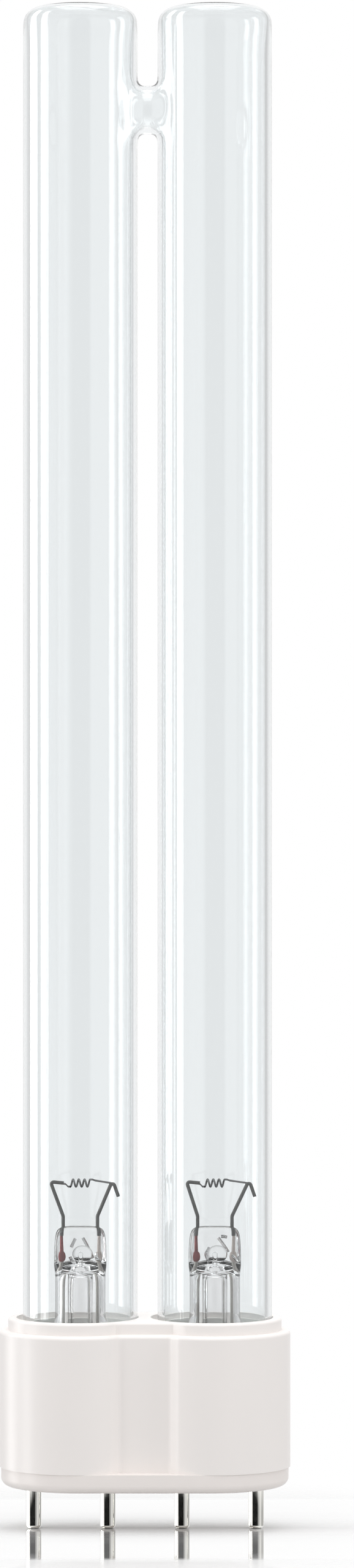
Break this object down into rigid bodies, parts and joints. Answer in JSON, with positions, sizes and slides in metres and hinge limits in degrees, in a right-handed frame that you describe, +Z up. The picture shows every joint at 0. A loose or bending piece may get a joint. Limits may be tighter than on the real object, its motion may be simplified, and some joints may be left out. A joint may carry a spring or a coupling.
{
  "type": "twin tube fluorescent lamp",
  "caption": "Clear U-shaped twin tube fluorescent lamp with coiled cathodes on glass stems and a white plastic base with pins in a row.",
  "frame": {"origin": "centre of the row of pins, on the base's underside where it seats on the lampholder", "axes": "+Z up along the glass tubes, +X along the row of pins, -Y the front that the picture shows"},
  "size_m": [0.0432, 0.0232, 0.2265],
  "materials": {
    "clear_glass": "clear, blown",
    "stem_glass": "clear, pressed",
    "nickel_wire": "drawn, dull",
    "copper_wire": "oxidised in the seal",
    "tungsten": "coiled wire, coated pale grey",
    "white_plastic": "moulded, satin",
    "pin_metal": "nickel plated, bright",
    "cement": "set cement, matt"
  },
  "bodies": {
    "root": {"glass_envelope": "clear_glass", "stem_left": "stem_glass", "stem_right": "stem_glass", "inner_lead_1": "nickel_wire", "inner_lead_2": "nickel_wire", "inner_lead_3": "nickel_wire", "inner_lead_4": "nickel_wire", "seal_wire_1": "copper_wire", "seal_wire_2": "copper_wire", "seal_wire_3": "copper_wire", "seal_wire_4": "copper_wire", "outer_lead_1": "nickel_wire", "outer_lead_2": "nickel_wire", "outer_lead_3": "nickel_wire", "outer_lead_4": "nickel_wire", "cathode_coil_left": "tungsten", "cathode_coil_right": "tungsten", "base_housing": "white_plastic", "pin_plate": "white_plastic", "contact_pin_1": "pin_metal", "contact_pin_2": "pin_metal", "contact_pin_3": "pin_metal", "contact_pin_4": "pin_metal", "cement_ring_left": "cement", "cement_ring_right": "cement"}
  },
  "joints": []
}
